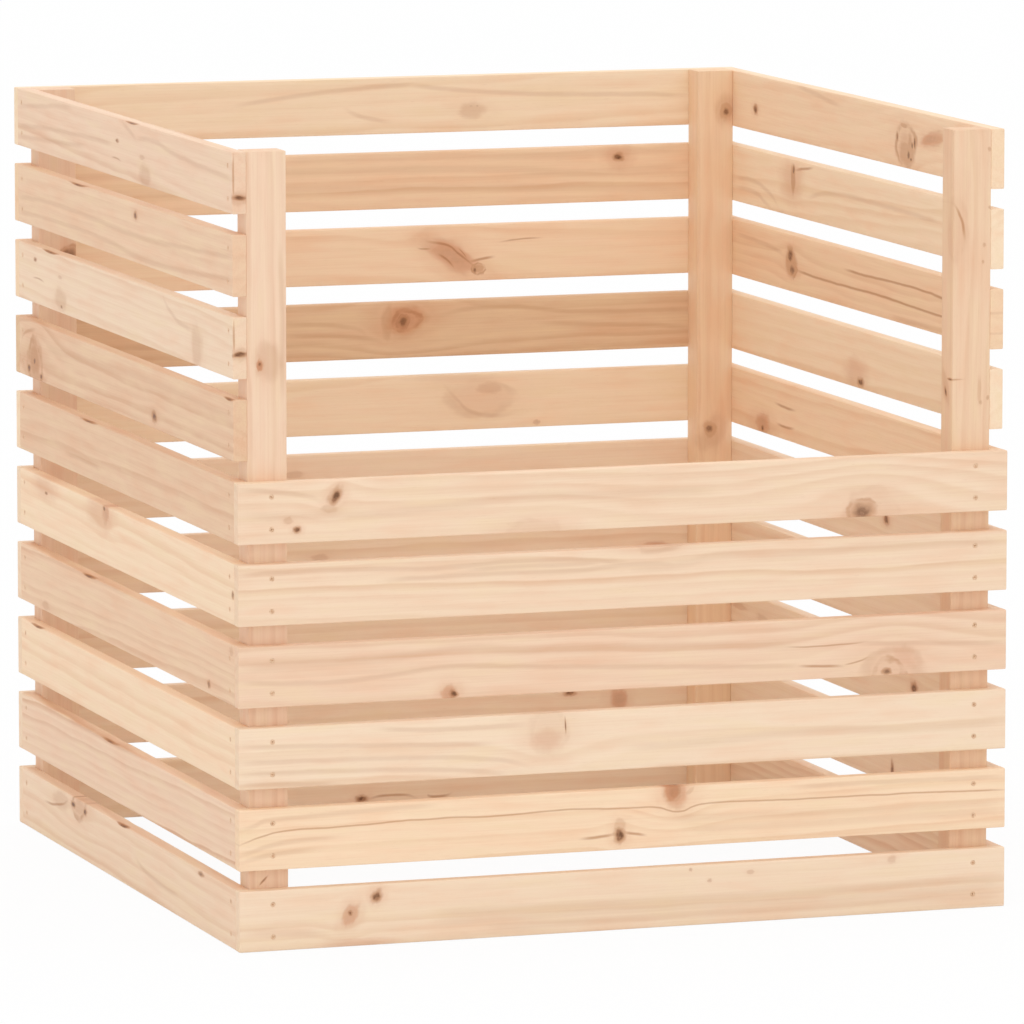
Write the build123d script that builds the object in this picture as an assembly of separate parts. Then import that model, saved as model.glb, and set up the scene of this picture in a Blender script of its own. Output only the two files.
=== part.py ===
from build123d import *
import os

# Slatted timber compost bin, open at the top, at the bottom and in the upper half of its front.
# Millimetres. The origin is on the ground at the middle of the bin: X right, Y to the back, Z up.

# Overall plan size of the bin, over the outer faces of its slats
bin_width = 800.0
bin_depth = 800.0

# Planed boards of the four walls
slat_height = 60.0
slat_thickness = 14.0
slat_gap = 20.0
wall_levels = 10
front_levels = 6
slat_edge_radius = 1.2

# Corner posts, which stand inside the walls
post_width = 40.0
post_depth = 30.0
post_edge_radius = 1.5

# Countersunk cross-recess wood screws, two at each end of every slat
screw_length = 25.0
screw_shank_diameter = 2.5
screw_head_diameter = 5.0
screw_head_rim = 0.4
screw_point_length = 3.0
screw_edge_margin = 14.0
screw_turn_step = 37.0
recess_length = 2.8
recess_width = 0.7
recess_depth = 1.0

# How deep the heads lie under the wood, and the room around each screw in its hole
screw_sink = 0.3
hole_clearance = 0.1

# Sizes that follow from the ones above
level_pitch = slat_height + slat_gap
bin_height = wall_levels * level_pitch - slat_gap
side_slat_length = bin_depth - 2 * slat_thickness
slat_centre_x = (bin_width - slat_thickness) / 2
slat_centre_y = (bin_depth - slat_thickness) / 2
post_centre_x = bin_width / 2 - slat_thickness - post_width / 2
post_centre_y = bin_depth / 2 - slat_thickness - post_depth / 2
shank_radius = screw_shank_diameter / 2
head_radius = screw_head_diameter / 2

LEFT, RIGHT = -1, 1
FRONT, BACK = -1, 1


def level_base(level):
    """Height of a level's lower edge above the ground, with the lowest level as 0."""
    return level * level_pitch


def screw_heights(level):
    """Heights of the two screws that hold one end of a slat."""
    low = level_base(level) + screw_edge_margin
    high = level_base(level) + slat_height - screw_edge_margin
    return [low, high]


def turned_screw(room, top):
    """A screw's turned body along -Z, grown by some room, with its head carried up to top."""
    shank = shank_radius + room
    head = head_radius + room
    cone_end = -screw_head_rim - (head_radius - shank_radius)
    outline = Polyline(
        (0, 0, top),
        (head, 0, top),
        (head, 0, -screw_head_rim),
        (shank, 0, cone_end),
        (shank, 0, screw_point_length - screw_length),
        (0, 0, -screw_length - room),
        close=True,
    )
    return revolve(make_face(outline), axis=Axis.Z)


def make_screw():
    """One screw with its head's top at the origin and its point down -Z."""
    arm = Box(recess_length, recess_width, recess_depth, align=(Align.CENTER, Align.CENTER, Align.MAX))
    return turned_screw(0, 0) - [arm, Rot(0, 0, 90) * arm]


def make_hole_tool():
    """The hole that a screw lies in, through the slat and into the post."""
    return turned_screw(hole_clearance, 2 * screw_sink)


def front_or_back_places(side, levels):
    """Places of the screw heads on the front or back wall, facing outwards."""
    y = side * (bin_depth / 2 - screw_sink)
    return {
        (level, end): [
            Plane((end * post_centre_x, y, z), x_dir=(1, 0, 0), z_dir=(0, side, 0)).location
            for z in screw_heights(level)
        ]
        for level in range(levels)
        for end in (LEFT, RIGHT)
    }


def left_or_right_places(side, levels):
    """Places of the screw heads on the left or right wall, facing outwards."""
    x = side * (bin_width / 2 - screw_sink)
    return {
        (level, end): [
            Plane((x, end * post_centre_y, z), x_dir=(0, 1, 0), z_dir=(side, 0, 0)).location
            for z in screw_heights(level)
        ]
        for level in range(levels)
        for end in (FRONT, BACK)
    }


def holes_at(places):
    """Hole tools at a list of screw places."""
    return [place * hole_tool for place in places]


def screws_at(places):
    """Screws at a list of places, each turned a little further than the one before."""
    return [
        place * Rot(0, 0, screw_turn_step * number) * screw
        for number, place in enumerate(places)
    ]


def make_board(length, thickness, height, edge_radius, along):
    """A planed board centred on the origin, with its long edges rounded."""
    section = Plane(origin=(0, 0, 0), x_dir=along.cross(Vector(0, 0, 1)), z_dir=along)
    return extrude(section * RectangleRounded(thickness, height, edge_radius), length / 2, both=True)


def make_slat(wall, level):
    """One slat of a wall, in place, with its screw holes."""
    height = level_base(level) + slat_height / 2
    if wall in ("front", "back"):
        side = FRONT if wall == "front" else BACK
        board = make_board(bin_width, slat_thickness, slat_height, slat_edge_radius, Vector(1, 0, 0))
        board = Pos(0, side * slat_centre_y, height) * board
    else:
        side = LEFT if wall == "left" else RIGHT
        board = make_board(side_slat_length, slat_thickness, slat_height, slat_edge_radius, Vector(0, 1, 0))
        board = Pos(side * slat_centre_x, 0, height) * board
    ends = [places for (at, end), places in wall_places[wall].items() if at == level]
    return board - holes_at(sum(ends, []))


def make_post(side, face):
    """One corner post from the ground to the top of the walls, with its screw holes."""
    outline = RectangleRounded(post_width, post_depth, post_edge_radius)
    post = Pos(side * post_centre_x, face * post_centre_y, 0) * extrude(outline, bin_height)
    across = wall_places["front" if face == FRONT else "back"]
    along = wall_places["left" if side == LEFT else "right"]
    places = [place for (level, end), pair in across.items() if end == side for place in pair]
    places += [place for (level, end), pair in along.items() if end == face for place in pair]
    return post - holes_at(places)


screw = make_screw()
hole_tool = make_hole_tool()

levels_of = {"front": front_levels, "back": wall_levels, "left": wall_levels, "right": wall_levels}
wall_places = {
    "front": front_or_back_places(FRONT, levels_of["front"]),
    "back": front_or_back_places(BACK, levels_of["back"]),
    "left": left_or_right_places(LEFT, levels_of["left"]),
    "right": left_or_right_places(RIGHT, levels_of["right"]),
}

# Every piece by its name: four posts, the slats from the ground up, and each wall's screws
nodes = {
    "front_left_post": make_post(LEFT, FRONT),
    "front_right_post": make_post(RIGHT, FRONT),
    "rear_left_post": make_post(LEFT, BACK),
    "rear_right_post": make_post(RIGHT, BACK),
}
for wall, levels in levels_of.items():
    for level in range(levels):
        nodes[f"{wall}_slat_{level + 1}"] = make_slat(wall, level)
    nodes[f"{wall}_slat_screws"] = Compound(children=screws_at(sum(wall_places[wall].values(), [])))

os.makedirs("parts", exist_ok=True)
for name, shape in nodes.items():
    export_step(shape, f"parts/{name}.step")
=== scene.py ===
import math
import random

import bmesh
import bpy
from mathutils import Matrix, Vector


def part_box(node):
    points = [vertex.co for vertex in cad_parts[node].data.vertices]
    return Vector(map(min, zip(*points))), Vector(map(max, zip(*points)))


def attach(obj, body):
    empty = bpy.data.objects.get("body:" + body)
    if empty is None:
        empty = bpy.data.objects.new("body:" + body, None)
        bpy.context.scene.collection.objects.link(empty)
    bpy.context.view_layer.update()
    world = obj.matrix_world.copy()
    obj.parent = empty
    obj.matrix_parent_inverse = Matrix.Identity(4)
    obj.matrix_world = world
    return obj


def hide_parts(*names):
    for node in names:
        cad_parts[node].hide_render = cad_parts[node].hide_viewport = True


# Looks of a slatted pine compost bin: planed boards, screws, soft studio light and a camera.
# The frame is in metres. Boards are drawn in millimetres along, across and through the board.

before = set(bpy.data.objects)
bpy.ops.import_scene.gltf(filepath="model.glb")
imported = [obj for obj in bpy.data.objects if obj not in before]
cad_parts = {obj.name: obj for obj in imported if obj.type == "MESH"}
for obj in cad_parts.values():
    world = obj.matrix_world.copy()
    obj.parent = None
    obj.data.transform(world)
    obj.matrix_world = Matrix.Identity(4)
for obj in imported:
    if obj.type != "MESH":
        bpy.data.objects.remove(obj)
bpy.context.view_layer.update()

MM = 0.001
RIGHT = Vector((1, 0, 0))
BACK = Vector((0, 1, 0))
UP = Vector((0, 0, 1))

# Boards: rounded long edges, eased ends, how far apart their mesh lines are, and their slight bow
SLAT_EDGE_RADIUS = 1.2
POST_EDGE_RADIUS = 0.9
EDGE_STEPS = 3
END_EASE = 0.5
STATION_STEP = 10.0
LINE_STEP = 8.0
LEAST_LINE_GAP = 1.5
SHARP_ANGLE = 40.0
MAX_BOW = 0.5
BOW_REACH = 335.0

# Chips out of upper edges: depth, reach down the board, length for each millimetre of their knot's,
# share of the depth at the inner face, and parts of their mesh
CHIP_DEPTH = 1.3
CHIP_REACH = 4.0
CHIP_LENGTH_SHARE = 1.2
CHIP_INNER_SHARE = 0.35
CHIP_PARTS = 8

# Screws
SCREW_MARGIN = 14.0
SCREW_SINK = 0.3
SCREW_LENGTH = 25.0
SCREW_POINT = 3.0
SCREW_TURN_STEP = 37.0
SCREW_SIDES = 24
SHANK_RADIUS = 1.25
TIP_RADIUS = 0.05
HEAD_RADIUS = 2.5
HEAD_RIM = 0.4
HEAD_EASE_WIDTH = 0.15
HEAD_EASE_DEPTH = 0.12
RECESS_ARM = 1.4
RECESS_HALF_WIDTH = 0.35
RECESS_DEPTH = 1.0
RECESS_TAPER = 0.6

# Holes that the screws lie in, and the square of mesh lines that each is set in
HOLE_ROOM = 0.1
HOLE_EASE = 0.15
HOLE_END_RADIUS = 0.3
HOLE_SIDES = 16
HOLE_OFFSETS = (-4.0, -2.0, 0.0, 2.0, 4.0)
HOLE_MARGIN = 5.0
HOLE_SQUARE = (
    (4, 2), (4, 3), (4, 4), (3, 4), (2, 4), (1, 4), (0, 4), (0, 3),
    (0, 2), (0, 1), (0, 0), (1, 0), (2, 0), (3, 0), (4, 0), (4, 1),
)

# Which world axes run along, across and through the boards of each wall
BOARD_AXES = {
    "front": (RIGHT, UP, BACK), "back": (RIGHT, UP, BACK),
    "left": (BACK, UP, RIGHT), "right": (BACK, UP, RIGHT), "post": (UP, RIGHT, BACK),
}
OUTER_FACE = {"front": "near", "back": "far", "left": "near", "right": "far"}
OPPOSITE_FACE = {"near": "far", "far": "near", "low": "high", "high": "low"}
LEVELS = {"front": 6, "back": 10, "left": 10, "right": 10}
POSTS = ("front_left_post", "front_right_post", "rear_left_post", "rear_right_post")

# Camera of the photograph, in metres and degrees, and its focal length in widths of the image
CAMERA_PLACE = (-2.8013, -8.3064, 1.5461)
CAMERA_YAW = 18.73
CAMERA_PITCH = -7.677
CAMERA_FOCAL = 8.428
CAMERA_REACH = 200.0
SENSOR_WIDTH = 36.0

# Studio: the floor, how bright the surroundings are at the horizon and how much more overhead, and the lamp
FLOOR_REACH = 60.0
FLOOR_HEIGHT = -0.0005
FLOOR_GREY = 0.88
FLOOR_GLOW = 0.93
HORIZON_LIGHT = 0.6
OVERHEAD_LIGHT = 0.85
OVERHEAD_POWER = 1.5
LAMP_PLACE = (-2.2, -6.0, 3.0)
LAMP_AIM = (0, 0, 0.35)
LAMP_SIZE = 3.0
LAMP_WATTS = 36

# Early wood and late wood of each shade of pine
TONES = {
    "light": ((254, 230, 200), (234, 194, 152)),
    "pale": ((249, 224, 197), (228, 188, 150)),
    "cream": ((247, 219, 191), (222, 176, 136)),
    "amber": ((253, 224, 192), (229, 178, 132)),
    "honey": ((249, 216, 182), (222, 174, 130)),
    "rose": ((245, 213, 185), (217, 168, 130)),
    "warm": ((242, 207, 175), (212, 160, 120)),
    "clay": ((237, 200, 167), (206, 152, 112)),
    "tan": ((234, 199, 163), (202, 154, 114)),
}
PINK = (248, 204, 176)
STRAW = (245, 219, 176)
BLUSH = (208, 136, 96)
KNOT_BROWN = (182, 120, 72)
KNOT_DARK = (96, 58, 34)
LINE_BROWN = (176, 112, 62)
ZINC_LIGHT = (240, 208, 176)
ZINC_DEEP = (222, 184, 148)

# How far growth rings wander and ripple, and drawn lines ripple and fade out, in millimetres
RING_WANDER = 18.0
RING_RIPPLE = 4.0
LINE_RIPPLE = 2.0
LINE_FADE = 25.0

# Steps of the random seed from board to board and from knot to knot
BOARD_SEED_STEP = 3.7
KNOT_SEED_STEP = 5.1

# What a knot adds to the wood: a push on the grain, brown, red and dark
KNOT_SUMS = ("Push", "Brown", "Red", "Dark")

# How strongly each kind of knot shows: brown body, red flush, edge, core, halo, and how far the grain bends
KNOT_TRAITS = ("Body", "Flush", "Edge", "Core", "Halo", "Shove")
KNOT_KINDS = {
    "dead": (0.5, 0.25, 0.0, 0.85, 0.2, 0.7),
    "pin": (0.55, 0.2, 0.0, 0.65, 0.12, 0.5),
    "speck": (0.3, 0.0, 0.0, 0.1, 0.05, 0.0),
    "ringed": (0.52, 0.18, 0.52, 0.66, 0.18, 0.75),
    "red": (0.08, 0.55, 0.15, 0.1, 0.22, 0.7),
    "russet": (0.3, 0.75, 0.2, 0.12, 0.25, 0.6),
    "pale": (0.06, 0.1, 0.1, 0.0, 0.12, 0.8),
    "outline": (0.08, 0.12, 0.55, 0.0, 0.12, 0.5),
    "arch": (0.04, 0.2, 0.2, 0.0, 0.1, 0.7),
    "seam": (0.5, 0.0, 0.0, 0.1, 0.0, 0.0),
    "mark": (0.6, 0.0, 0.0, 0.65, 0.08, 0.2),
    "smudge": (0.24, 0.04, 0.0, 0.0, 0.08, 0.2),
    "stain": (0.46, 0.12, 0.0, 0.0, 0.1, 0.2),
    "blush": (0.0, 0.0, 0.0, 0.0, 0.35, 0.3),
    "edge": (0.8, 0.0, 0.0, 0.8, 0.1, 0.3),
}

# How deep a knot goes under the face it shows on: through a slat, into a post, and at an edge or end
THROUGH_DEPTH = 1000.0
POST_KNOT_DEPTH = 14.0
EDGE_KNOT_DEPTH = 5.0

# Sizes of the knots on boards that are left to chance
CHANCE_KNOTS = {"ringed": 24, "dead": 12, "pale": 34, "pin": 7, "red": 20}

# Half width and strength of each kind of drawn line
LINE_KINDS = {
    "line": (1.4, 0.5), "streak": (2.2, 0.6), "smear": (3.0, 0.34),
    "soft": (4.0, 0.19), "band": (7.0, 0.12),
}

# Looks of the boards by name
LOOKS = {}


def pine(board, tone, pith, spacing, taper, contrast, knots=(), side_knots=(), end_knots=(), lines=()):
    """Lists one board's look. A knot that names no turn gets a turn of 0."""
    look = dict(tone=tone, pith=pith, spacing=spacing, taper=taper, contrast=contrast, lines=lines)
    for face, listed in (("knots", knots), ("side_knots", side_knots), ("end_knots", end_knots)):
        look[face] = [(*knot, 0)[:6] for knot in listed]
    LOOKS[board] = look


# Each board's shade, where the heart of its tree lay across and behind it, its ring width, how the rings
# widen along it and how far they show. Then its knots on the face, the side and the end, and drawn lines.
# A knot is its kind, its place along and across, its length and height, and its turn.
# A line is its kind and then its points along and across.
pine("front_slat_6", "cream", (-60, 44), 10, 0.02, 0.5, knots=[
    ("dead", -301, 14, 13, 22, -32), ("smudge", -307, 2, 16, 9), ("dead", -340, -17, 9, 8),
    ("smudge", -349, -8, 9, 8), ("pale", -98, -28, 52, 24), ("ringed", 246, -25, 32, 27),
    ("pale", 254, -28, 56, 52),
], lines=[
    ("band", (-400, -1), (-275, -5), (-225, -4), (-162, 1), (-112, 5), (0, 4), (90, 3)),
    ("soft", (-400, 24), (-338, 17), (-318, 10)),
])
pine("front_slat_5", "cream", (-101, 24), 10, 0.01, 0.44, knots=[("pale", 33, 32, 46, 16)], lines=[
    ("soft", (-400, 20), (-300, 22), (-200, 19), (-100, 22), (0, 15)),
    ("soft", (-250, 9), (-150, 11), (-60, 10), (0, 13), (60, 10)),
    ("soft", (-170, 15), (-120, 17), (-60, 16), (-20, 19)),
    ("band", (0, 13), (20, 9), (60, 12), (100, 18), (160, 16), (260, 20), (400, 18)),
    ("soft", (10, 28), (25, 25), (40, 27), (55, 29)),
])
pine("front_slat_4", "rose", (86, 44), 12, -0.012, 0.38, knots=[
    ("dead", -181, -26, 11, 10), ("red", -185, -26, 18, 20), ("arch", 279, -28, 62, 50),
    ("outline", 274, -29, 34, 32), ("mark", 272, -26, 12, 8), ("blush", 291, -14, 18, 16, -35),
], lines=[
    ("band", (-400, 9), (-330, 10), (-250, 12), (-190, 18), (-165, 19), (-110, 14), (0, 12), (180, 4)),
    ("soft", (-400, -4), (-310, -8), (-240, -4), (-182, 1), (-100, -3), (0, -8), (180, -16)),
    ("soft", (240, 4), (300, 1), (400, -3)), ("line", (165, 4), (205, 3), (250, 5)),
    ("streak", (180, -16), (200, -17), (225, -18)), ("line", (228, -17), (240, -15), (252, -11)),
])
pine("front_slat_3", "pale", (-76, 44), 12, 0.006, 0.38, knots=[
    ("pale", -83, 14, 40, 46), ("blush", -84, 4, 22, 18), ("mark", -65, 17, 2, 18, 3),
], lines=[
    ("soft", (-400, 12), (-300, 9), (-200, 5), (-140, 3)),
    ("soft", (-400, -3), (-300, -5), (-200, -8), (-140, -13), (-105, -21)),
    ("soft", (-400, -14), (-300, -16), (-200, -20), (-130, -27)),
    ("soft", (-400, -24), (-340, -27), (-300, -29)), ("soft", (-260, 24), (-200, 20), (-110, 20)),
    ("band", (0, -9), (100, -6), (200, -2), (300, -5), (400, -2)),
])
pine("front_slat_2", "amber", (-86, 30), 9, -0.01, 0.34, knots=[
    ("dead", -9, -15, 14, 18), ("smudge", -8, -5, 13, 14), ("red", 51, 25, 28, 34),
    ("russet", 46, 26, 20, 26), ("stain", 49, 27, 14, 18), ("smudge", 65, 25, 11, 5, 40),
], lines=[
    ("line", (-400, -4), (-392, -1), (-375, 4), (-350, 8), (-300, 9), (-237, 11), (-187, 12), (-150, 11),
     (-50, 13), (0, 11), (20, 11), (32, 10), (42, 7), (54, 5), (65, 8), (78, 11), (95, 12), (150, 11),
     (300, 10), (350, 9), (400, 8)),
    ("soft", (-400, 10), (-385, 14), (-370, 19), (-355, 20), (-325, 21), (-287, 23), (-200, 25)),
    ("soft", (175, 23), (275, 23), (400, 21)),
    ("soft", (-400, -14), (-385, -10), (-370, -6), (-350, -3), (-300, -1)),
    ("soft", (-400, -22), (-385, -18), (-360, -14), (-320, -12)),
    ("band", (40, -2), (120, -3), (250, -5), (400, -4)), ("band", (60, -13), (200, -14), (400, -13)),
    ("streak", (-48, -17), (-30, -16), (-14, -14)), ("streak", (-4, -13), (8, -15), (18, -17)),
])
pine("front_slat_1", "pale", (66, 44), 10, 0.006, 0.36, knots=[
    ("red", -287, 1, 15, 26, -35), ("pin", -287, 3, 5, 6), ("dead", -260, 18, 12, 16, -40),
    ("blush", -281, -28, 44, 8), ("speck", 66, 26, 4, 4), ("speck", 86, 14, 5, 4),
    ("smudge", 129, 20, 8, 5), ("smudge", 279, 24, 10, 9),
], lines=[
    ("band", (-400, -11), (-350, -13), (-310, -19)), ("band", (-200, -2), (0, -3), (200, -3), (400, 0)),
    ("band", (-200, -11), (0, -10), (250, -12), (400, -8)), ("band", (-150, -20), (100, -19), (400, -18)),
])
pine("left_slat_10", "rose", (71, 44), 11, 0.03, 0.5, knots=[
    ("edge", -39, 30, 45, 3), ("mark", 14, 7, 12, 5), ("smudge", -76, -2, 20, 5),
    ("smudge", -84, -20, 42, 24),
], end_knots=[("dead", 0, -14, 20, 7, -4), ("smudge", 1, -15, 20, 14), ("seam", -6, 6, 2, 42)], lines=[
    ("soft", (180, 26), (211, 25), (300, 18), (386, 11)),
    ("soft", (36, 2), (180, 0), (290, -4), (386, -9)), ("soft", (136, -9), (240, -14), (386, -20)),
    ("soft", (-54, 14), (-30, 21), (-4, 26)),
    ("soft", (-386, 4), (-260, 8), (-180, 12), (-110, 18), (-60, 15)),
    ("line", (2, -12), (16, -11), (32, -11)),
])
pine("left_slat_9", "warm", (-71, 44), 12, 0.012, 0.38, knots=[
    ("edge", 160, 30, 60, 3), ("dead", -52, 18, 15, 9),
], lines=[
    ("soft", (-386, 8), (-250, 3), (-100, -2), (0, -2), (100, 0), (250, 1), (386, -4)),
    ("soft", (-386, -12), (-250, -20), (-80, -24), (50, -18), (200, -16), (386, -20)),
])
pine("left_slat_8", "cream", (-81, 34), 9, -0.01, 0.38, knots=[
    ("edge", 264, 30, 60, 3), ("mark", 322, 16, 13, 5), ("smudge", 227, 7, 15, 4),
    ("smudge", 226, -16, 44, 24), ("mark", 222, -23, 9, 5), ("smudge", -264, -12, 38, 46),
], end_knots=[("dead", 0, -6, 20, 7, 4), ("smudge", -1, -6, 20, 14), ("seam", -6, 10, 2, 34)], lines=[
    ("soft", (-250, 3), (-215, 5), (-180, 12), (-149, 26)), ("line", (290, -4), (311, -3), (330, -3)),
])
pine("left_slat_7", "clay", (69, 40), 10, 0.01, 0.44, knots=[
    ("outline", 325, -14, 56, 52), ("dead", 348, -21, 16, 11), ("dead", 302, -25, 12, 9),
    ("smudge", 325, -12, 54, 48), ("stain", 326, -8, 38, 36), ("mark", 328, -11, 12, 10),
    ("dead", -115, -18, 20, 13), ("edge", -370, 30, 30, 3),
], lines=[
    ("smear", (325, 22), (352, 18), (378, 4)), ("band", (-386, 10), (-100, 16), (100, 12), (280, 8)),
])
pine("left_slat_6", "clay", (-66, 44), 10, 0.008, 0.38, knots=[("edge", 128, 30, 60, 3)], lines=[
    ("soft", (80, -15), (150, -13), (210, -14)),
])
pine("left_slat_5", "amber", (76, 40), 10, 0.01, 0.38, knots=[
    ("blush", 290, 20, 50, 18), ("mark", 286, 15, 12, 4), ("red", 62, 22, 28, 22),
    ("mark", 67, 27, 10, 6), ("blush", 84, 20, 60, 26), ("mark", -382, -1, 9, 9),
])
pine("left_slat_4", "warm", (-71, 34), 8, 0.014, 0.44, knots=[
    ("mark", -300, -20, 12, 9), ("smudge", 291, -24, 30, 10), ("smudge", -376, 23, 14, 10),
    ("edge", 127, 30, 50, 3),
])
pine("left_slat_3", "amber", (86, 44), 12, 0.008, 0.32, knots=[("edge", 325, 30, 45, 3)])
pine("left_slat_2", "rose", (-81, 30), 8, 0.02, 0.7, knots=[("edge", 52, 30, 60, 3)])
pine("left_slat_1", "cream", (69, 40), 10, 0.02, 0.55, knots=[
    ("outline", 169, 24, 52, 32), ("dead", 191, 22, 20, 9), ("dead", 147, 21, 14, 10),
    ("mark", -270, 26, 22, 6), ("edge", 10, 30, 44, 3), ("smudge", 238, 18, 60, 20),
    ("smudge", 168, 22, 44, 18),
], lines=[
    ("streak", (216, 21), (260, 11), (296, 8)), ("soft", (-190, -10), (-140, -9), (-90, -6), (-39, 3)),
])
pine("back_slat_10", "light", (58, 44), 11, 0.02, 0.44, knots=[
    ("smudge", 102, -8, 32, 17), ("speck", 100, -3, 5, 3), ("speck", 107, -3, 4, 3),
], lines=[
    ("soft", (-160, 5), (-95, 13), (-27, 19), (40, 22)), ("soft", (-38, -4), (-18, -12), (8, -17)),
    ("soft", (30, 21), (180, 8), (280, 5), (340, 2)),
])
pine("back_slat_9", "honey", (-86, 34), 10, 0.004, 0.38, knots=[
    ("dead", 266, 18, 14, 11), ("blush", 266, 18, 20, 18),
], lines=[
    ("band", (-386, 14), (-160, 13), (60, 11), (165, 7), (230, 2), (340, 6)),
    ("band", (-386, -5), (-110, -6), (60, -9), (200, -13), (340, -20)),
    ("band", (-110, 25), (60, 26), (200, 22), (340, 26)),
])
pine("back_slat_8", "amber", (-60, 44), 11, 0.01, 0.32, knots=[
    ("red", 78, -2, 64, 30, -32), ("outline", 108, -17, 16, 13), ("stain", 108, -17, 14, 11),
    ("mark", 104, -19, 5, 7),
], lines=[
    ("line", (40, 7), (47, 6), (54, 6)), ("streak", (53, 13), (70, 10), (85, 0), (102, -13)),
    ("streak", (64, -1), (72, -6), (80, -14)), ("streak", (100, -9), (110, -7), (125, -5)),
    ("line", (86, 5), (91, 0), (95, -5)), ("line", (135, 11), (155, 13), (177, 14)),
])
pine("back_slat_7", "tan", (76, 34), 10, -0.006, 0.38, knots=[
    ("red", 26, 9, 48, 34), ("ringed", 23, 8, 15, 18, -20), ("outline", 27, 10, 32, 26),
    ("smudge", 6, 8, 14, 36),
], lines=[
    ("soft", (70, 15), (125, 21), (220, 13), (350, 11)), ("soft", (180, 2), (250, -2), (350, -8)),
    ("soft", (-110, 10), (-60, 8), (-20, -2)), ("soft", (-110, -2), (-50, -4), (0, -12)),
])
pine("back_slat_6", "light", (61, 44), 11, 0.01, 0.38, knots=[
    ("arch", 110, 4, 76, 40), ("smudge", 122, 14, 30, 14), ("smudge", 119, 14, 16, 8),
    ("speck", 174, -25, 9, 6),
], lines=[
    ("soft", (72, 16), (85, 2), (104, -12), (126, -16), (146, -14)),
    ("band", (20, 28), (80, 27), (130, 23)),
])
pine("back_slat_5", "pale", (-71, 44), 10, 0.006, 0.38, knots=[("smudge", -100, 9, 26, 8)])
pine("back_slat_4", "pale", (-66, 44), 10, 0.006, 0.44, knots=[
    ("smudge", -70, -1, 20, 8), ("red", 311, -6, 30, 12),
])
pine("back_slat_3", "pale", (71, 44), 10, 0.01, 0.44, knots=[("pin", 140, 12, 8, 7)])
pine("back_slat_2", "pale", (-71, 44), 10, 0.006, 0.44, knots=[
    ("dead", 212, -1, 16, 8), ("red", 268, -10, 20, 26),
])
pine("back_slat_1", "pale", (-61, 44), 10, 0.006, 0.44, knots=[("dead", -24, -24, 16, 10)], lines=[
    ("streak", (-14, -24), (10, -22), (34, -25)), ("streak", (48, -21), (60, -26), (76, -24)),
])
pine("right_slat_10", "amber", (76, 40), 10, -0.03, 0.44, knots=[
    ("dead", 286, -6, 16, 12), ("outline", -154, -7, 54, 44), ("mark", -129, 0, 7, 12),
    ("mark", -178, -2, 8, 16), ("mark", -161, -16, 11, 13), ("smudge", -154, -10, 50, 40),
    ("stain", -166, -10, 24, 34), ("stain", -154, -16, 46, 26), ("mark", -171, -6, 7, 9),
    ("mark", -168, -20, 8, 6), ("stain", -148, 13, 22, 5), ("red", -226, 6, 66, 15, -9),
], lines=[("soft", (36, 18), (60, 20), (110, 25), (161, 28))])
pine("right_slat_9", "light", (-66, 40), 10, 0.03, 0.44, knots=[
    ("pin", 171, 19, 9, 13), ("stain", 173, 10, 14, 30), ("blush", 176, 6, 40, 30),
], lines=[
    ("streak", (116, 26), (140, 23), (163, 20)), ("soft", (240, -28), (260, -22), (290, -15), (346, -14)),
    ("soft", (220, -22), (256, -9), (300, -3), (346, -4)),
    ("soft", (-240, 4), (-64, 6), (26, 6), (126, -6)),
])
pine("right_slat_8", "honey", (71, 34), 10, 0.01, 0.38, knots=[
    ("dead", 179, 8, 24, 19), ("ringed", 172, -7, 27, 17), ("stain", 176, 0, 36, 32),
], lines=[
    ("streak", (-386, -14), (-251, -11), (-180, -10), (-104, -8), (6, -8), (86, -8), (156, -6)),
    ("streak", (-386, 6), (-251, 8), (-204, 10), (-114, 10), (-64, 9), (16, 9)),
    ("soft", (-386, -24), (-251, -25), (-114, -26)), ("soft", (196, 6), (246, 12), (346, 15)),
])
pine("right_slat_7", "light", (-76, 44), 11, 0.01, 0.38, knots=[
    ("dead", -29, -23, 22, 11), ("blush", -15, -14, 40, 22),
])
pine("right_slat_6", "amber", (-71, 44), 10, 0.01, 0.44, knots=[
    ("red", 261, -20, 46, 22), ("dead", 261, -25, 10, 7),
], lines=[
    ("streak", (166, 5), (195, 5), (221, 6)), ("streak", (168, -15), (190, -16), (216, -15)),
])
pine("right_slat_5", "pale", (-71, 44), 10, 0.01, 0.44, knots=[("dead", -103, 3, 20, 13)])
pine("right_slat_4", "pale", (66, 44), 10, -0.01, 0.44, knots=[("pin", 120, -6, 12, 6)])
pine("right_slat_3", "pale", (-71, 44), 10, 0.01, 0.44, knots=[
    ("dead", -185, 0, 22, 14), ("smudge", 260, 9, 40, 10), ("smudge", 330, 13, 40, 8),
])
pine("right_slat_2", "pale", (61, 44), 10, 0.01, 0.44, knots=[("mark", -125, -15, 10, 22)])
pine("front_left_post", "rose", (-71, 24), 10, 0.004, 0.26, knots=[
    ("russet", 183, -7, 13, 8), ("pin", 184, -7, 6, 5), ("smudge", 186, 2, 40, 30),
    ("mark", -322, -5, 12, 2.5, 45),
], lines=[("soft", (150, 15), (200, 16), (297, 14))])
pine("front_right_post", "warm", (71, 24), 10, 0.004, 0.24, knots=[
    ("pale", 290, -20, 62, 32), ("speck", 275, 13, 5, 4), ("speck", 312, 19, 4, 4),
    ("speck", 258, 12, 4, 3), ("speck", 118, 10, 6, 4), ("speck", 122, 18, 5, 4),
    ("speck", 370, 18, 5, 4), ("smudge", 130, 9, 30, 4),
], side_knots=[
    ("dead", 128, 3, 14, 7, 25), ("smudge", 131, 3, 36, 16, 20), ("mark", 141, -8, 3, 16),
], lines=[("streak", (282, -8), (292, -9), (305, -13), (315, -18))])
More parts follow.
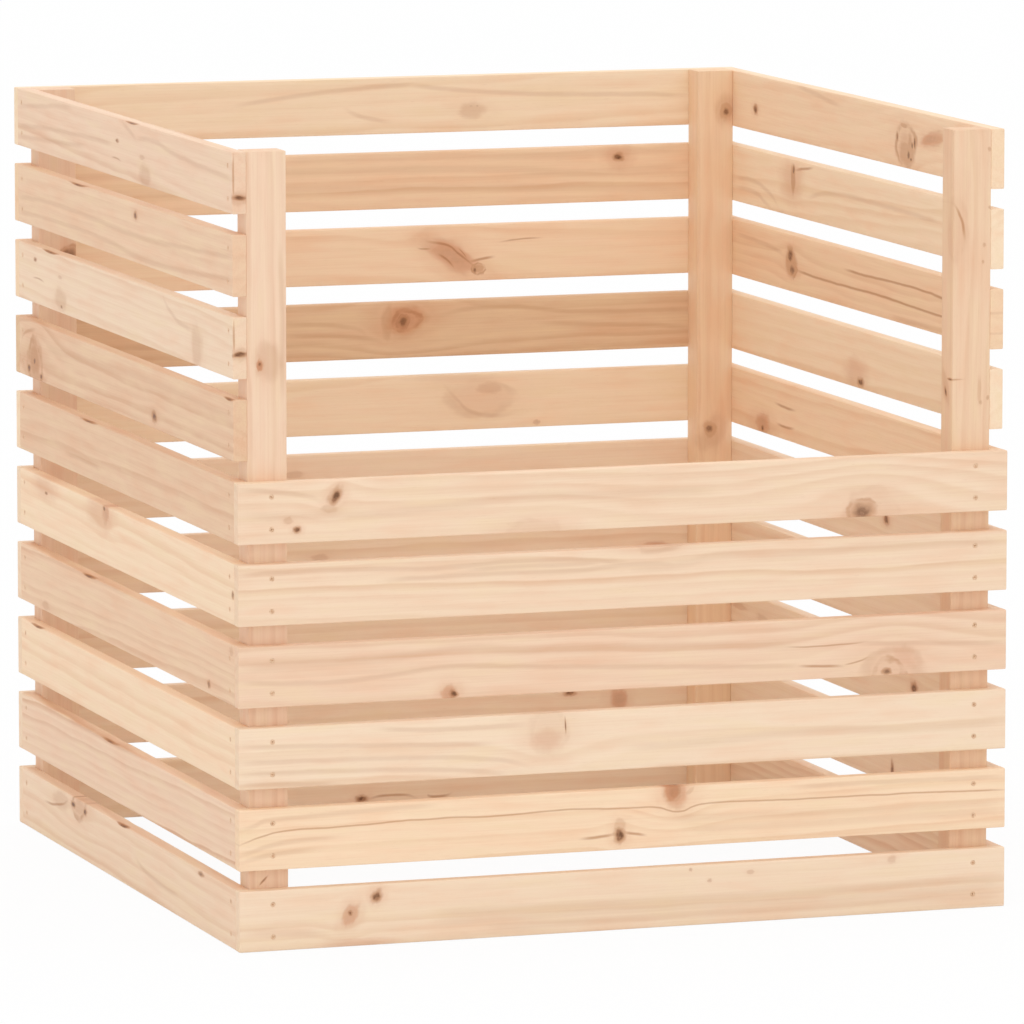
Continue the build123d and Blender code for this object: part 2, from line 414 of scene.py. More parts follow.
pine("rear_right_post", "honey", (-66, 30), 10, 0.004, 0.24, knots=[
    ("stain", 346, 12, 24, 18), ("pin", 346, 12, 13, 11), ("smudge", 346, 13, 36, 28),
    ("stain", 4, -5, 22, 17), ("pin", 4, -6, 13, 11), ("smudge", 0, -2, 46, 30, 20),
])


def linear(colour):
    """A colour of 0 to 255 as the linear values that a shader takes."""
    parts = [c / 255 for c in colour]
    return tuple(p / 12.92 if p <= 0.04045 else ((p + 0.055) / 1.055) ** 2.4 for p in parts) + (1.0,)


# Meshes of boards


def lines_between(half, step, fine):
    """Mesh lines from -half to half, at most a step apart, with a set of fine lines among them."""
    count = max(1, math.ceil(2 * half / step))
    fine = sorted({f for f in fine if -half < f < half})
    plain = [-half + 2 * half * i / count for i in range(count + 1)]
    plain = [x for x in plain if all(abs(x - f) > LEAST_LINE_GAP for f in fine)]
    return sorted({-half, half, *plain, *fine})


def section_loop(face_lines, edge_lines, radius):
    """Points once round a board's rounded section, and where each face's lines are."""
    half_width = face_lines[-1] + radius
    half_depth = edge_lines[-1] + radius
    points = []
    places = {}
    turn = math.pi / 2 / EDGE_STEPS

    def along(face, lines, point):
        for line in lines:
            places[face, line] = len(points)
            points.append(point(line))

    def round_corner(across, through, start):
        for step in range(1, EDGE_STEPS):
            angle = start + turn * step
            points.append((across + radius * math.cos(angle), through + radius * math.sin(angle)))

    along("near", face_lines, lambda line: (line, -half_depth))
    round_corner(face_lines[-1], edge_lines[0], -math.pi / 2)
    along("high", edge_lines, lambda line: (half_width, line))
    round_corner(face_lines[-1], edge_lines[-1], 0)
    along("far", face_lines[::-1], lambda line: (line, half_depth))
    round_corner(face_lines[0], edge_lines[-1], math.pi / 2)
    along("low", edge_lines[::-1], lambda line: (-half_width, line))
    round_corner(face_lines[0], edge_lines[0], math.pi)
    return points, places


class Board:
    """A board's mesh in its own millimetres: along, across and through."""

    def __init__(self, length, width, depth, radius, holes, chips):
        self.half = (length / 2, width / 2, depth / 2)

        def hole_lines(*faces):
            return [h["across"] + o for h in holes if h["face"] in faces for o in HOLE_OFFSETS]

        fine_stations = [h["along"] + o for h in holes for o in HOLE_OFFSETS]
        for chip in chips:
            for part in range(-CHIP_PARTS // 2, CHIP_PARTS // 2 + 1):
                station = chip["along"] + chip["length"] * part / CHIP_PARTS
                if all(abs(station - h["along"]) > HOLE_MARGIN for h in holes):
                    fine_stations.append(station)
        self.face_lines = lines_between(width / 2 - radius, LINE_STEP, hole_lines("near", "far"))
        self.edge_lines = lines_between(depth / 2 - radius, LINE_STEP, hole_lines("low", "high"))
        self.stations = lines_between(length / 2 - END_EASE, STATION_STEP, fine_stations)
        self.section, self.places = section_loop(self.face_lines, self.edge_lines, radius)
        self.points = []
        self.faces = []
        self.open = set()
        self.grid = {}
        self.add_rows()
        for hole in holes:
            self.add_hole(hole)
        self.add_skin()
        self.add_caps()

    def add_point(self, along, across, through):
        self.points.append((along, across, through))
        return len(self.points) - 1

    def add_rows(self):
        """A row of points round the section at each station, and a slightly smaller one at each end."""
        end, half_width, half_depth = self.half
        shrink_width = 1 - END_EASE / half_width
        shrink_depth = 1 - END_EASE / half_depth
        for row, station in enumerate([-end, *self.stations, end]):
            for column, (across, through) in enumerate(self.section):
                if abs(station) == end:
                    across, through = across * shrink_width, through * shrink_depth
                self.grid[row, column] = self.add_point(station, across, through)
        self.rows = len(self.stations) + 2

    def rim_of(self, hole, face):
        """Points in order round the square that a hole is set in. The square's quads are left open."""
        rows = [self.stations.index(hole["along"] + o) + 1 for o in HOLE_OFFSETS]
        columns = [self.places[face, hole["across"] + o] for o in HOLE_OFFSETS]
        for row in rows[:-1]:
            for first, second in zip(columns, columns[1:]):
                self.open.add((row, min(first, second)))
        return [self.grid[rows[a], columns[b]] for a, b in HOLE_SQUARE]

    def ring_of(self, hole, radius, depth):
        """A ring of points in a hole, at some depth under its face."""
        side = -1 if hole["face"] in ("near", "low") else 1
        ring = []
        for step in range(HOLE_SIDES):
            angle = 2 * math.pi * step / HOLE_SIDES
            along = hole["along"] + radius * math.cos(angle)
            across = hole["across"] + radius * math.sin(angle)
            if hole["face"] in ("near", "far"):
                ring.append(self.add_point(along, across, side * (self.half[2] - depth)))
            else:
                ring.append(self.add_point(along, side * (self.half[1] - depth), across))
        return ring

    def add_hole(self, hole):
        """A hole from its face to the face behind, or to a small flat end where it is blind."""
        rings = [self.rim_of(hole, hole["face"])]
        rings += [self.ring_of(hole, radius, depth) for radius, depth in hole["steps"]]
        if hole["through"]:
            rings.append(self.rim_of(hole, OPPOSITE_FACE[hole["face"]]))
        self.faces += bridges(rings)
        if not hole["through"]:
            self.faces.append(tuple(rings[-1]))

    def add_skin(self):
        columns = len(self.section)
        for row in range(self.rows - 1):
            for column in range(columns):
                if (row, column) in self.open:
                    continue
                after = (column + 1) % columns
                self.faces.append((self.grid[row, column], self.grid[row + 1, column],
                                   self.grid[row + 1, after], self.grid[row, after]))

    def add_caps(self):
        """End faces: a strip between each pair of lines, and one face in each rounded edge."""
        low, high = self.face_lines[0], self.face_lines[-1]
        near = {line: self.places["near", line] for line in self.face_lines}
        far = {line: self.places["far", line] for line in self.face_lines}
        rings = [(near[a], near[b], far[b], far[a]) for a, b in zip(self.face_lines, self.face_lines[1:])]
        rings.append(range(near[high], far[high] + 1))
        rings.append([*range(far[low], len(self.section)), near[low]])
        for row in (0, self.rows - 1):
            self.faces += [tuple(self.grid[row, column] for column in ring) for ring in rings]


def bridges(rings):
    """Quads between each ring of points and the next."""
    quads = []
    for first, second in zip(rings, rings[1:]):
        for i in range(len(first)):
            after = (i + 1) % len(first)
            quads.append((first[i], first[after], second[after], second[i]))
    return quads


def warped(point, half, bow, chips):
    """A board's point moved by the board's slight bow and by chips out of its upper outer edge."""
    along, across, through = point
    nearness = (across - half[1] + CHIP_REACH) / CHIP_REACH
    outer = 0.5 - 0.5 * through / half[2]
    if abs(along) < BOW_REACH:
        share = 0.5 + 0.5 * math.cos(math.pi * along / BOW_REACH)
        through += bow[0] * share
        across += bow[1] * share
    for chip in chips:
        reach = (along - chip["along"]) / (chip["length"] / 2)
        if abs(reach) < 1 and nearness > 0:
            depth = CHIP_DEPTH * (1 - reach * reach) ** 2
            across -= depth * nearness * (CHIP_INNER_SHARE + (1 - CHIP_INNER_SHARE) * outer)
    return along, across, through


def add_piece(name, points, faces, centre, axes, grain):
    """A mesh object from points in a board's millimetres, with each point's place in the grain."""
    mesh = bpy.data.meshes.new(name)
    mesh.from_pydata([(a * axes[0] + b * axes[1] + c * axes[2]) * MM for a, b, c in points], [], faces)
    shell = bmesh.new()
    shell.from_mesh(mesh)
    bmesh.ops.recalc_face_normals(shell, faces=shell.faces)
    shell.to_mesh(mesh)
    shell.free()
    values = mesh.attributes.new("grain", "FLOAT_VECTOR", "POINT")
    values.data.foreach_set("vector", [x for point in grain for x in point])
    mesh.shade_smooth()
    mesh.set_sharp_from_angle(angle=math.radians(SHARP_ANGLE))
    piece = bpy.data.objects.new(name, mesh)
    piece.location = centre
    bpy.context.scene.collection.objects.link(piece)
    return piece


def node_frame(node, wall):
    """Centre of a CAD node in metres, and its sizes along, across and through in millimetres."""
    low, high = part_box(node)
    size = high - low
    return (low + high) / 2, [abs(size.dot(axis)) / MM for axis in BOARD_AXES[wall]]


def chips_of(look):
    """A chip out of the edge at each edge knot."""
    return [dict(along=along, length=length * CHIP_LENGTH_SHARE)
            for kind, along, across, length, height, turn in look["knots"] if kind == "edge"]


def add_board(node, wall, radius, holes, look):
    """A piece for one CAD board, with its own pine."""
    centre, (length, width, depth) = node_frame(node, wall)
    chips = chips_of(look)
    board = Board(length, width, depth, radius, holes, chips)
    chance = random.Random(node)
    bow = (chance.uniform(-MAX_BOW, MAX_BOW), chance.uniform(-MAX_BOW, MAX_BOW) / 2)
    if wall == "post":
        bow = (0.0, 0.0)
    points = [warped(p, board.half, bow, chips) for p in board.points]
    piece = add_piece(node + "_pine", points, board.faces, centre, BOARD_AXES[wall], board.points)
    piece.data.materials.append(pine_material(node, look, *board.half))
    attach(piece, "root")
    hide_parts(node)


def countersunk_steps(thickness):
    """Rings of a slat's screw hole: the head's recess, its cone, and the shank's way through."""
    head = HEAD_RADIUS + HOLE_ROOM
    shank = SHANK_RADIUS + HOLE_ROOM
    cone_start = SCREW_SINK + HEAD_RIM
    cone_end = cone_start + HEAD_RADIUS - SHANK_RADIUS
    recess = [(head + HOLE_EASE, 0), (head, HOLE_EASE), (head, cone_start)]
    return recess + [(shank, cone_end), (shank, thickness)]


def post_hole_steps(thickness):
    """Rings of a screw hole in a post, behind a slat of some thickness."""
    shank = SHANK_RADIUS + HOLE_ROOM
    depth = SCREW_SINK + SCREW_LENGTH - thickness
    return [(shank, 0), (shank, depth - SCREW_POINT), (HOLE_END_RADIUS, depth + HOLE_ROOM)]


def slat_holes(wall, reach, width, thickness):
    """Two screw holes at each end of a slat."""
    heights = (SCREW_MARGIN - width / 2, width / 2 - SCREW_MARGIN)
    steps = countersunk_steps(thickness)
    return [dict(face=OUTER_FACE[wall], along=end * reach, across=height, through=True, steps=steps)
            for end in (-1, 1) for height in heights]


def post_centre(name):
    low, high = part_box(name)
    return (low + high) / 2


def screw_reach(wall):
    """How far a wall's screws are from the middle of its slats, in millimetres."""
    centre = post_centre("rear_right_post")
    return round((centre.x if wall in ("front", "back") else centre.y) / MM, 3)


def screw_heights(node):
    """Heights of a slat's screws, in metres."""
    low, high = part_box(node)
    return low.z + SCREW_MARGIN * MM, high.z - SCREW_MARGIN * MM


def post_holes(name):
    """The screw holes in one post, from the two walls that it holds."""
    steps = post_hole_steps(node_frame("front_slat_1", "front")[1][2])
    middle = post_centre(name).z
    walls = {
        "near" if "front" in name else "far": "front" if "front" in name else "back",
        "low" if "left" in name else "high": "left" if "left" in name else "right",
    }
    holes = []
    for face, wall in walls.items():
        for level in range(1, LEVELS[wall] + 1):
            for height in screw_heights(f"{wall}_slat_{level}"):
                along = round((height - middle) / MM, 3)
                holes.append(dict(face=face, along=along, across=0.0, through=False, steps=steps))
    return holes


# Screws


def cross_outline(scale):
    """The screw's cross recess as points round it, with a point in the middle of each straight side."""
    arm, half = RECESS_ARM * scale, RECESS_HALF_WIDTH * scale
    middle = (arm + half) / 2
    quarter = [(arm, 0), (arm, half), (middle, half), (half, half), (half, middle), (half, arm)]
    points = []
    for _ in range(4):
        points += quarter
        quarter = [(-y, x) for x, y in quarter]
    return points


def screw_rings():
    """Rings of points of one screw, from the floor of its recess over its head to its point."""
    turns = [2 * math.pi * i / SCREW_SIDES for i in range(SCREW_SIDES)]
    circle = [(math.cos(turn), math.sin(turn)) for turn in turns]
    profile = [
        (HEAD_RADIUS - HEAD_EASE_WIDTH, 0), (HEAD_RADIUS, HEAD_EASE_DEPTH), (HEAD_RADIUS, HEAD_RIM),
        (SHANK_RADIUS, HEAD_RIM + HEAD_RADIUS - SHANK_RADIUS),
        (SHANK_RADIUS, SCREW_LENGTH - SCREW_POINT), (TIP_RADIUS, SCREW_LENGTH),
    ]
    rings = [[(x, y, -RECESS_DEPTH) for x, y in cross_outline(RECESS_TAPER)],
             [(x, y, 0) for x, y in cross_outline(1)]]
    rings += [[(x * radius, y * radius, -depth) for x, y in circle] for radius, depth in profile]
    return rings


def add_screws(wall):
    """All screws of one wall as one piece, each turned a little further than the one before."""
    along, up, through = BOARD_AXES[wall]
    outward = through * (-1 if OUTER_FACE[wall] == "near" else 1)
    places = []
    for level in range(1, LEVELS[wall] + 1):
        node = f"{wall}_slat_{level}"
        centre, (length, width, thickness) = node_frame(node, wall)
        for end in (-1, 1):
            for height in screw_heights(node):
                head = centre + along * end * screw_reach(wall) * MM
                head = head + outward * (thickness / 2 - SCREW_SINK) * MM
                head.z = height
                places.append(head)
    points = []
    faces = []
    for number, head in enumerate(places):
        turn = math.radians(SCREW_TURN_STEP * number)
        right = along * math.cos(turn) + up * math.sin(turn)
        upward = up * math.cos(turn) - along * math.sin(turn)
        rows = []
        for ring in screw_rings():
            rows.append(range(len(points), len(points) + len(ring)))
            points += [head + (right * x + upward * y + outward * z) * MM for x, y, z in ring]
        faces += [tuple(rows[0]), tuple(rows[-1]), *bridges(rows)]
    scaled = [tuple(p / MM) for p in points]
    piece = add_piece(f"{wall}_screws_steel", scaled, faces, Vector((0, 0, 0)), (RIGHT, BACK, UP), scaled)
    piece.data.materials.append(SCREW_ZINC)
    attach(piece, "root")
    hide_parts(f"{wall}_slat_screws")


# Materials


class Graph:
    """Adds nodes to a tree. Every value is a number, a colour or another node's output."""

    def __init__(self, tree):
        self.tree = tree

    def feed(self, socket, value):
        if isinstance(value, bpy.types.NodeSocket):
            self.tree.links.new(value, socket)
        else:
            socket.default_value = value

    def add(self, kind, sockets, **settings):
        node = self.tree.nodes.new(kind)
        for key, value in settings.items():
            setattr(node, key, value)
        for key, value in sockets.items():
            self.feed(node.inputs[key], value)
        return node

    def math(self, operation, *values):
        return self.add("ShaderNodeMath", dict(enumerate(values)), operation=operation).outputs[0]

    def times(self, first, second):
        return self.math("MULTIPLY", first, second)

    def minus(self, first, second):
        return self.math("SUBTRACT", first, second)

    def most(self, first, second):
        return self.math("MAXIMUM", first, second)

    def scaled(self, value, scale, start):
        return self.math("MULTIPLY_ADD", value, scale, start)

    def vector(self, operation, *values):
        return self.add("ShaderNodeVectorMath", dict(enumerate(values)), operation=operation).outputs[0]

    def length(self, value):
        return self.add("ShaderNodeVectorMath", {0: value}, operation="LENGTH").outputs["Value"]

    def ramp(self, value, start, end, low=0.0, high=1.0, kind="SMOOTHSTEP"):
        sockets = {"Value": value, "From Min": start, "From Max": end, "To Min": low, "To Max": high}
        return self.add("ShaderNodeMapRange", sockets, interpolation_type=kind).outputs["Result"]

    def noise(self, place, detail=2.0, roughness=0.5):
        sockets = {"Vector": place, "Scale": 1.0, "Detail": detail, "Roughness": roughness}
        return self.add("ShaderNodeTexNoise", sockets).outputs["Fac"]

    def stretched_noise(self, place, stretch, detail=2.0):
        return self.noise(self.vector("MULTIPLY", place, stretch), detail)

    def mix(self, amount, first, second, blend="MIX"):
        sockets = {0: amount, 6: first, 7: second}
        return self.add("ShaderNodeMix", sockets, data_type="RGBA", blend_type=blend).outputs[2]

    def split(self, value):
        return self.add("ShaderNodeSeparateXYZ", {0: value}).outputs

    def join(self, *values):
        return self.add("ShaderNodeCombineXYZ", dict(enumerate(values))).outputs[0]

    def grain_place(self):
        return self.add("ShaderNodeAttribute", {}, attribute_name="grain").outputs["Vector"]

    def bump(self, height, strength, distance):
        sockets = {"Strength": strength, "Distance": distance, "Height": height}
        return self.add("ShaderNodeBump", sockets).outputs["Normal"]


def new_group(name, inputs, outputs):
    """A node group with named sockets, its graph, its inputs and its outputs."""
    tree = bpy.data.node_groups.new(name, "ShaderNodeTree")
    for direction, sockets in (("INPUT", inputs), ("OUTPUT", outputs)):
        for socket, kind in sockets.items():
            tree.interface.new_socket(socket, in_out=direction, socket_type="NodeSocket" + kind)
    entry = tree.nodes.new("NodeGroupInput")
    leave = tree.nodes.new("NodeGroupOutput")
    return tree, Graph(tree), entry.outputs, leave.inputs


def make_knot_group():
    """One knot: adds its brown, red and dark parts to those before, and bends the grain round it."""
    sums = dict.fromkeys(KNOT_SUMS, "Float")
    traits = dict.fromkeys(("Seed", "Blotch", *KNOT_TRAITS), "Float")
    tree, g, given, result = new_group("pine_knot", {"Local": "Vector", **sums, **traits}, sums)
    x, y, _ = g.split(given["Local"])
    shifted = g.join(x, y, given["Seed"])
    wobble = g.minus(g.noise(shifted), 0.5)
    patch = g.ramp(g.stretched_noise(shifted, (0.9, 0.9, 2.0)), 0.35, 0.6, 0.3, 1.0)
    radius = g.scaled(wobble, 0.9, g.length(given["Local"]))
    body = g.ramp(radius, 1.25, 0.6)
    edge = g.times(g.times(g.ramp(radius, 0.6, 0.9), g.ramp(radius, 1.2, 0.95)), patch)
    core = g.times(g.ramp(radius, 0.75, 0.2), given["Blotch"])
    round_core = g.times(g.ramp(radius, 1.0, 0.4), 0.85)
    wide = g.length(g.vector("MULTIPLY", given["Local"], (0.5, 0.6, 1.0)))
    halo = g.ramp(g.scaled(wobble, 0.6, wide), 1.3, 0.25)
    reach_x = g.times(g.times(x, x), -0.10)
    reach_y = g.times(g.times(y, y), -0.28)
    reach = g.math("EXPONENT", g.math("ADD", reach_x, reach_y))
    shove = g.times(g.times(y, given["Shove"]), reach)
    brown = g.most(g.times(given["Body"], body), g.times(given["Edge"], edge))
    brown = g.most(brown, g.times(given["Core"], round_core))
    red = g.most(g.times(given["Flush"], body), g.times(given["Halo"], halo))
    dark = g.times(given["Core"], core)
    g.feed(result["Push"], g.math("ADD", given["Push"], shove))
    for name, value in (("Brown", brown), ("Red", red), ("Dark", dark)):
        g.feed(result[name], g.most(given[name], value))
    return tree


def make_pine_group():
    """Pine from its growth rings, fibres and resin flecks, with the marks of its knots and lines on top."""
    ring_sockets = ("Pith Across", "Pith Behind", "Spacing", "Taper", "Seed", "Contrast", "Half Length")
    floats = dict.fromkeys((*KNOT_SUMS, "Line", *ring_sockets), "Float")
    inputs = {"Place": "Vector", **floats, "Early": "Color", "Late": "Color"}
    outputs = {"Colour": "Color", "Roughness": "Float", "Height": "Float"}
    tree, g, given, result = new_group("pine", inputs, outputs)
    along, across, through = g.split(given["Place"])
    seeds = g.join(given["Seed"], given["Seed"], given["Seed"])

    def stretched(x, y, z):
        return g.vector("MULTIPLY_ADD", given["Place"], (x, y, z), seeds)

    # Growth rings about the heart, with a slow wander along the board
    slow = g.minus(g.noise(stretched(0.003, 0.012, 0.012)), 0.5)
    ripple = g.minus(g.noise(stretched(0.014, 0.04, 0.04)), 0.5)
    side = g.minus(g.minus(across, given["Push"]), given["Pith Across"])
    behind = g.minus(through, given["Pith Behind"])
    squares = g.math("ADD", g.times(side, side), g.times(behind, behind))
    radius = g.scaled(along, given["Taper"], g.math("SQRT", squares))
    radius = g.scaled(slow, RING_WANDER, radius)
    radius = g.scaled(ripple, RING_RIPPLE, radius)
    turns = g.math("DIVIDE", radius, given["Spacing"])
    part = g.math("FRACT", turns)
    year = g.math("ADD", g.math("FLOOR", turns), g.times(given["Seed"], 7.3))
    chance = g.add("ShaderNodeTexWhiteNoise", {"W": year}, noise_dimensions="1D").outputs["Value"]
    strength = g.scaled(g.times(chance, chance), 0.9, 0.2)
    late = g.times(g.ramp(part, 0.1, 0.78), g.ramp(part, 1.0, 0.78))
    late = g.times(late, strength)

    # Fibres, resin flecks and slow changes of shade
    fibre = g.noise(stretched(0.01, 0.55, 0.55), 4.0, 0.6)
    fleck = g.ramp(g.noise(stretched(0.1, 2.4, 2.4), 1.0), 0.66, 0.8)
    cloud = g.noise(stretched(0.012, 0.06, 0.06), 3.0)
    from_end = g.minus(given["Half Length"], g.math("ABSOLUTE", along))
    sawn = g.ramp(from_end, 0.45, 0.1)
    ringed = g.times(g.times(late, given["Contrast"]), g.scaled(sawn, -0.6, 1.0))
    colour = g.mix(ringed, given["Early"], given["Late"])
    colour = g.mix(g.ramp(cloud, 0.42, 0.8, 0.0, 0.22), colour, linear(PINK), "MULTIPLY")
    colour = g.mix(g.ramp(cloud, 0.55, 0.2, 0.0, 0.35), colour, linear(STRAW))
    colour = g.mix(g.ramp(fibre, 0.4, 0.75, 0.0, 0.16), colour, given["Late"])
    colour = g.mix(g.times(fleck, 0.15), colour, linear(LINE_BROWN))

    # Knots and dark lines
    colour = g.mix(given["Red"], colour, linear(BLUSH))
    colour = g.mix(given["Line"], colour, linear(LINE_BROWN))
    colour = g.mix(given["Brown"], colour, linear(KNOT_BROWN))
    colour = g.mix(given["Dark"], colour, linear(KNOT_DARK))

    # Sawn ends are a little deeper in colour and rougher
    colour = g.mix(g.times(sawn, 0.06), colour, linear(TONES["tan"][1]), "MULTIPLY")
    rough = g.scaled(fibre, 0.16, 0.5)
    rough = g.scaled(sawn, 0.2, rough)
    rough = g.scaled(given["Dark"], -0.12, rough)
    height = g.scaled(late, 0.35, g.times(fibre, 0.5))
    height = g.scaled(given["Dark"], -0.6, height)
    g.feed(result["Colour"], colour)
    g.feed(result["Roughness"], rough)
    g.feed(result["Height"], height)
    return tree


def new_material(name):
    """A material with a Principled shader, its graph and that shader."""
    material = bpy.data.materials.new(name)
    material.use_nodes = True
    return material, Graph(material.node_tree), material.node_tree.nodes["Principled BSDF"]


def grain_line(g, place, kind, points, half_length, half_width, ripple):
    """How strongly a drawn line shows: a smooth curve through points along and across the board."""
    line_width, strength = LINE_KINDS[kind]
    along, across, _ = g.split(place)
    share = g.ramp(along, -half_length, half_length, kind="LINEAR")
    curve = g.add("ShaderNodeFloatCurve", {"Value": share})
    handles = curve.mapping.curves[0].points
    while len(handles) < len(points):
        handles.new(0.5, 0.5)
    for handle, (x, y) in zip(handles, points):
        handle.location = (x / half_length / 2 + 0.5, y / half_width / 2 + 0.5)
    curve.mapping.update()
    height = g.times(g.minus(curve.outputs[0], 0.5), 2 * half_width)
    away = g.minus(g.scaled(ripple, LINE_RIPPLE, across), height)
    shown = g.ramp(g.math("ABSOLUTE", away), line_width, line_width * 0.15)
    start, end = points[0][0], points[-1][0]
    fade = min(LINE_FADE, (end - start) / 3)
    fade_in = g.ramp(along, start - fade / 2, start + fade)
    fade_out = g.ramp(along, end + fade / 2, end - fade)
    return g.times(g.times(shown, strength), g.times(fade_in, fade_out))


def knot_local(g, place, knot, face, depth):
    """Places about a knot's middle, in units of its own size, from the face that it shows on."""
    kind, along, across, length, height, turn = knot
    sockets = {
        "Vector": place, "Location": (along, across, face), "Rotation": (0, 0, math.radians(turn)),
        "Scale": (length / 2, height / 2, depth),
    }
    return g.add("ShaderNodeMapping", sockets, vector_type="TEXTURE").outputs[0]


def pine_material(node, look, half_length, half_width, half_depth):
    """The pine of one board, with its own rings, knots and lines."""
    material, g, shader = new_material(node + "_pine")
    place = g.grain_place()
    along, across, through = g.split(place)
    blotch = g.ramp(g.stretched_noise(place, (0.22, 0.22, 0.1), 3.0), 0.3, 0.6, 0.45, 1.0)
    ripple = g.minus(g.stretched_noise(place, (0.03, 0.05, 0.05)), 0.5)
    deep = POST_KNOT_DEPTH if node in POSTS else THROUGH_DEPTH
    seen = [(k, place, -half_depth, EDGE_KNOT_DEPTH if k[0] == "edge" else deep) for k in look["knots"]]
    if look["side_knots"]:
        sideways = g.join(along, through, across)
        seen += [(k, sideways, -half_width, POST_KNOT_DEPTH) for k in look["side_knots"]]
    if look["end_knots"]:
        endways = g.join(through, across, along)
        seen += [(k, endways, -half_length, EDGE_KNOT_DEPTH) for k in look["end_knots"]]
    sums = dict.fromkeys(KNOT_SUMS, 0.0)
    for number, (knot, where, face, depth) in enumerate(seen):
        traits = dict(zip(KNOT_TRAITS, KNOT_KINDS[knot[0]]))
        traits["Shove"] *= knot[4] / 2 if where is place else 0.0
        local = knot_local(g, where, knot, face, depth)
        seed = look["seed"] + KNOT_SEED_STEP * number
        sockets = {"Local": local, "Seed": seed, "Blotch": blotch, **sums, **traits}
        outputs = g.add("ShaderNodeGroup", sockets, node_tree=KNOT_GROUP).outputs
        sums = {name: outputs[name] for name in KNOT_SUMS}
    line = 0.0
    for kind, *points in look["lines"]:
        drawn = grain_line(g, place, kind, points, half_length, half_width, ripple)
        line = drawn if line == 0.0 else g.most(line, drawn)
    early, late = TONES[look["tone"]]
    sockets = {
        "Place": place, **sums, "Line": line, "Half Length": half_length,
        "Pith Across": look["pith"][0], "Pith Behind": look["pith"][1],
        "Early": linear(early), "Late": linear(late),
        **{trait.capitalize(): look[trait] for trait in ("spacing", "taper", "seed", "contrast")},
    }
    wood = g.add("ShaderNodeGroup", sockets, node_tree=PINE_GROUP).outputs
    g.feed(shader.inputs["Base Color"], wood["Colour"])
    g.feed(shader.inputs["Roughness"], wood["Roughness"])
    g.feed(shader.inputs["Normal"], g.bump(wood["Height"], 0.3, 0.0004))
    shader.inputs["Specular IOR Level"].default_value = 0.3
    return material


def screw_material():
    """Dull yellow zinc with a blotchy film and fine scratches."""
    material, g, shader = new_material("screw_zinc")
    place = g.grain_place()
    film = g.stretched_noise(place, (0.6, 0.6, 0.6), 3.0)
    scratch = g.stretched_noise(place, (9.0, 9.0, 1.5))
    colour = g.mix(g.ramp(film, 0.35, 0.65), linear(ZINC_LIGHT), linear(ZINC_DEEP))
    g.feed(shader.inputs["Base Color"], colour)
    g.feed(shader.inputs["Roughness"], g.scaled(film, 0.3, 0.45))
    g.feed(shader.inputs["Normal"], g.bump(scratch, 0.2, 0.0001))
    shader.inputs["Metallic"].default_value = 0.1
    return material


def look_of(node, number):
    """A board's look as listed, or one drawn by chance from its name."""
    if node not in LOOKS:
        chance = random.Random(node + " look")
        knots = []
        for _ in range(chance.randint(1, 3)):
            kind = chance.choice(list(CHANCE_KNOTS))
            size = CHANCE_KNOTS[kind] * chance.uniform(0.7, 1.2)
            place = (chance.uniform(-320, 320), chance.uniform(-22, 22))
            knots.append((kind, *place, size, size * chance.uniform(0.7, 1.1), chance.uniform(-30, 30)))
        tone = chance.choice(("pale", "cream", "cream", "rose"))
        pith = (chance.choice((-70, 70)), chance.uniform(28, 44))
        rings = (chance.uniform(7, 10), chance.uniform(-0.02, 0.02), chance.uniform(0.3, 0.45))
        pine(node, tone, pith, *rings, knots=knots)
    return {**LOOKS[node], "seed": BOARD_SEED_STEP * number}


# Stage


def seen_rays(g):
    """1 for rays from the camera, in mirrors and through glass, and 0 for light."""
    path = g.add("ShaderNodeLightPath", {}).outputs
    bright = g.most(path["Is Camera Ray"], path["Is Glossy Ray"])
    return g.most(bright, path["Is Transmission Ray"])


def add_floor():
    """A wide pale floor that reads as white and keeps a soft shadow."""
    mesh = bpy.data.meshes.new("floor")
    reach = FLOOR_REACH
    corners = [(-reach, -reach), (reach, -reach), (reach, reach), (-reach, reach)]
    mesh.from_pydata([(x, y, FLOOR_HEIGHT) for x, y in corners], [], [(0, 1, 2, 3)])
    floor = bpy.data.objects.new("floor", mesh)
    bpy.context.scene.collection.objects.link(floor)
    material, g, shader = new_material("floor_white")
    g.tree.nodes.remove(shader)
    paint = g.add("ShaderNodeBsdfDiffuse", {"Color": (FLOOR_GREY, FLOOR_GREY, FLOOR_GREY, 1)})
    glow = g.add("ShaderNodeEmission", {"Color": (1, 1, 1, 1), "Strength": 1.0})
    share = g.times(seen_rays(g), FLOOR_GLOW)
    blend = g.add("ShaderNodeMixShader", {0: share, 1: paint.outputs[0], 2: glow.outputs[0]})
    g.feed(g.tree.nodes["Material Output"].inputs["Surface"], blend.outputs[0])
    mesh.materials.append(material)


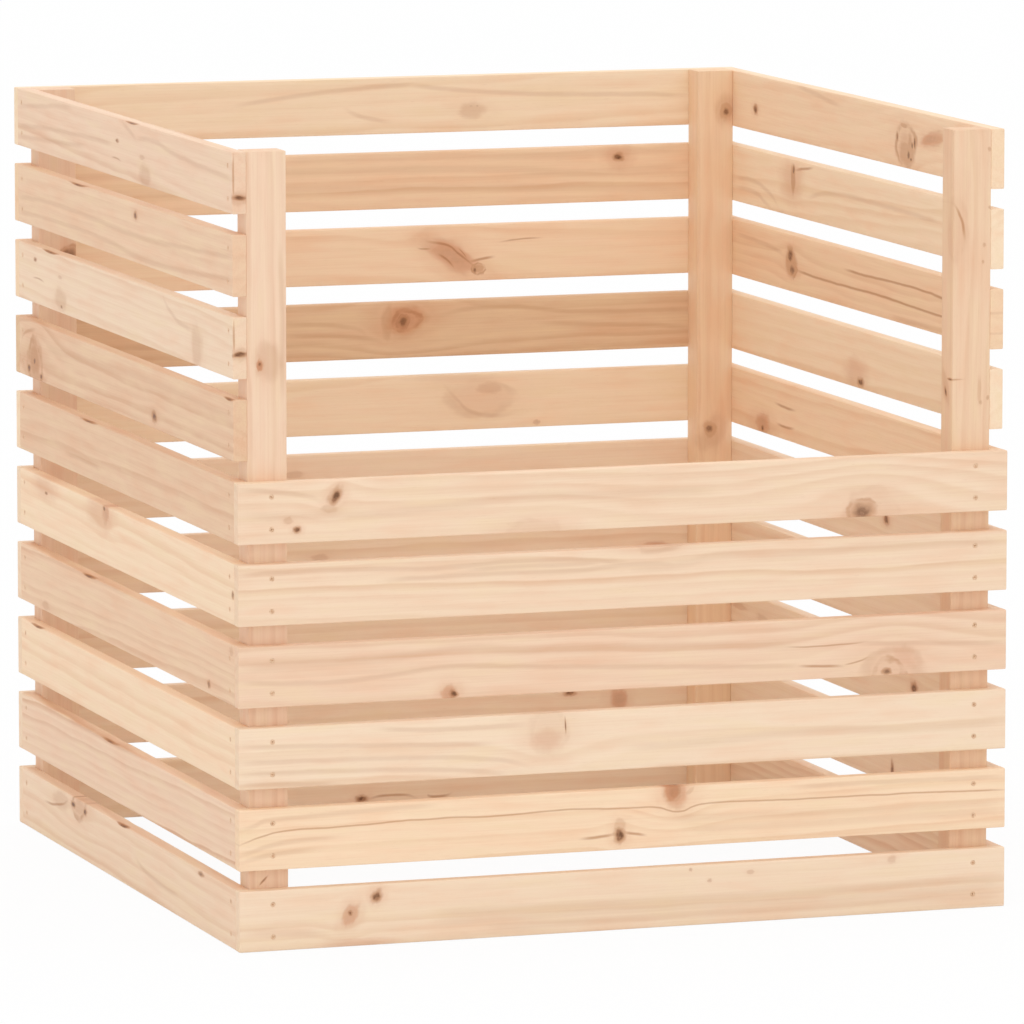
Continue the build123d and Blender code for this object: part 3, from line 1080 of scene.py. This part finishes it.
def add_world():
    """White surroundings that light the object evenly, and more from above."""
    world = bpy.data.worlds.new("studio")
    world.use_nodes = True
    bpy.context.scene.world = world
    g = Graph(world.node_tree)
    background = world.node_tree.nodes["Background"]
    g.feed(background.inputs["Color"], (1, 1, 1, 1))
    direction = g.add("ShaderNodeTexCoord", {}).outputs["Generated"]
    height = g.most(g.split(direction)[2], 0.0)
    strength = g.scaled(g.math("POWER", height, OVERHEAD_POWER), OVERHEAD_LIGHT, HORIZON_LIGHT)
    shown = g.minus(1.0, strength)
    g.feed(background.inputs["Strength"], g.scaled(seen_rays(g), shown, strength))


def add_lamp():
    """A soft square lamp."""
    lamp = bpy.data.lights.new("key", "AREA")
    lamp.size = LAMP_SIZE
    lamp.energy = LAMP_WATTS
    holder = bpy.data.objects.new("key", lamp)
    holder.location = LAMP_PLACE
    holder.rotation_euler = (Vector(LAMP_AIM) - Vector(LAMP_PLACE)).to_track_quat("-Z", "Y").to_euler()
    bpy.context.scene.collection.objects.link(holder)


def add_camera():
    """The photograph's camera."""
    camera = bpy.data.objects.new("camera", bpy.data.cameras.new("camera"))
    yaw, pitch = math.radians(CAMERA_YAW), math.radians(CAMERA_PITCH)
    forward = Vector((math.sin(yaw) * math.cos(pitch), math.cos(yaw) * math.cos(pitch), math.sin(pitch)))
    camera.location = CAMERA_PLACE
    camera.rotation_euler = forward.to_track_quat("-Z", "Y").to_euler()
    camera.data.sensor_width = SENSOR_WIDTH
    camera.data.lens = CAMERA_FOCAL * SENSOR_WIDTH
    camera.data.clip_end = CAMERA_REACH
    bpy.context.scene.collection.objects.link(camera)
    bpy.context.scene.camera = camera


KNOT_GROUP = make_knot_group()
PINE_GROUP = make_pine_group()
SCREW_ZINC = screw_material()

board_number = 0
for wall, levels in LEVELS.items():
    for level in range(1, levels + 1):
        name = f"{wall}_slat_{level}"
        board_number += 1
        sizes = node_frame(name, wall)[1]
        holes = slat_holes(wall, screw_reach(wall), sizes[1], sizes[2])
        add_board(name, wall, SLAT_EDGE_RADIUS, holes, look_of(name, board_number))
    add_screws(wall)
for name in POSTS:
    board_number += 1
    add_board(name, "post", POST_EDGE_RADIUS, post_holes(name), look_of(name, board_number))

add_floor()
add_world()
add_lamp()
add_camera()
bpy.context.scene.view_settings.view_transform = "Standard"
